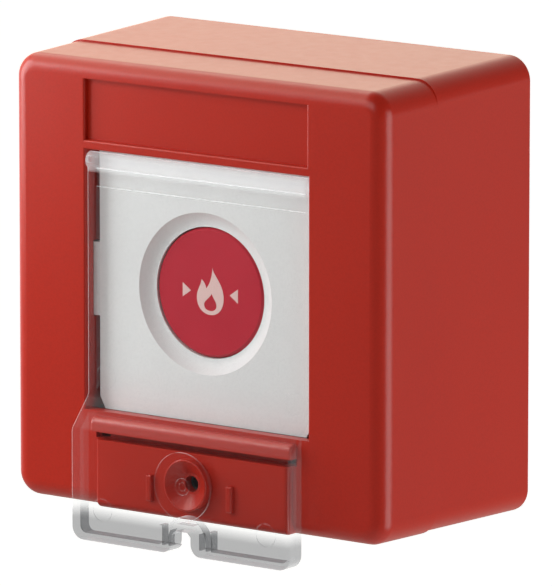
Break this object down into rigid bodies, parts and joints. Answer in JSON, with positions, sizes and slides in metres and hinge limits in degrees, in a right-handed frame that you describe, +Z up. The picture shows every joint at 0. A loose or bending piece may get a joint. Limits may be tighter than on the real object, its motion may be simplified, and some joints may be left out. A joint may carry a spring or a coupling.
{
  "type": "manual call point",
  "caption": "Square red wall-mounted manual call point with a hinged clear cover over a white call plate and round push button, and a key reset below.",
  "frame": {"origin": "centre of the flat back face that rests on the wall", "axes": "+Z up, +X to the right of a person facing the unit, +Y into the wall, so the front faces -Y"},
  "size_m": [0.088, 0.0512, 0.0918],
  "materials": {
    "red_moulding": "satin moulded signal red",
    "clear_polycarbonate": "clear polished polycarbonate",
    "white_moulding": "satin white",
    "button_red": "smooth crimson",
    "black_moulding": "fine textured black",
    "grey_acetal": "natural grey acetal",
    "rubber_black": "matt rubber",
    "steel_zinc": "bright zinc plated",
    "tinned_brass": "tinned brass",
    "board_laminate": "green solder mask",
    "resistor_body": "lacquered beige"
  },
  "bodies": {
    "housing": {"front_housing": "red_moulding", "back_box": "red_moulding", "housing_seal": "rubber_black", "housing_screws": "steel_zinc", "cable_grommet": "rubber_black", "call_plate": "white_moulding", "guide_bush": "grey_acetal", "return_spring": "steel_zinc", "inner_carrier": "black_moulding", "carrier_screws": "steel_zinc", "latch_spring": "steel_zinc", "latch_guide": "black_moulding", "latch_guide_screws": "steel_zinc", "switch_body": "black_moulding", "lever_pin": "steel_zinc", "switch_pins": "tinned_brass", "circuit_board": "board_laminate", "board_screws": "steel_zinc", "loop_resistors": "resistor_body", "terminal_block": "black_moulding", "terminal_screws": "steel_zinc", "wire_clamps": "tinned_brass"},
    "cover": {"protective_cover": "clear_polycarbonate"},
    "button": {"push_button": "button_red", "button_stem": "grey_acetal"},
    "lever": {"switch_lever": "steel_zinc"},
    "plunger": {"switch_plunger": "grey_acetal"},
    "lock": {"lock_rotor": "grey_acetal", "lock_cam": "grey_acetal", "cam_screw": "steel_zinc"},
    "latch": {"latch_slider": "grey_acetal"}
  },
  "joints": [
    {"name": "cover_hinge", "type": "hinge", "parent": "housing", "child": "cover", "pos_m": [0, -0.04485, 0.02345], "axis": [-1, 0, 0], "range_deg": [0, 115]},
    {"name": "button_slide", "type": "slide", "parent": "housing", "child": "button", "axis": [0, 1, 0], "range_m": [0, 0.0025], "stiffness_N_per_m": 2500, "deforming": ["return_spring"]},
    {"name": "lever_pivot", "type": "hinge", "parent": "housing", "child": "lever", "pos_m": [-0.0125, -0.0233, 0.0002], "axis": [0, 0, 1], "range_deg": [0, 12]},
    {"name": "plunger_slide", "type": "slide", "parent": "housing", "child": "plunger", "axis": [0, 1, 0], "range_m": [0, 0.0007]},
    {"name": "key_turn", "type": "hinge", "parent": "housing", "child": "lock", "pos_m": [0, -0.038, -0.0352], "axis": [0, 1, 0], "range_deg": [0, 90]},
    {"name": "latch_slide", "type": "slide", "parent": "housing", "child": "latch", "axis": [0, 0, 1], "range_m": [0, 0.00283], "stiffness_N_per_m": 60, "deforming": ["latch_spring"]}
  ],
  "couplings": [
    {"joint": "lever_pivot", "follows": "button_slide", "rad_per_m": 80},
    {"joint": "plunger_slide", "follows": "button_slide", "ratio": 0.25},
    {"joint": "key_turn", "follows": "latch_slide", "rad_per_m": 555.56}
  ]
}
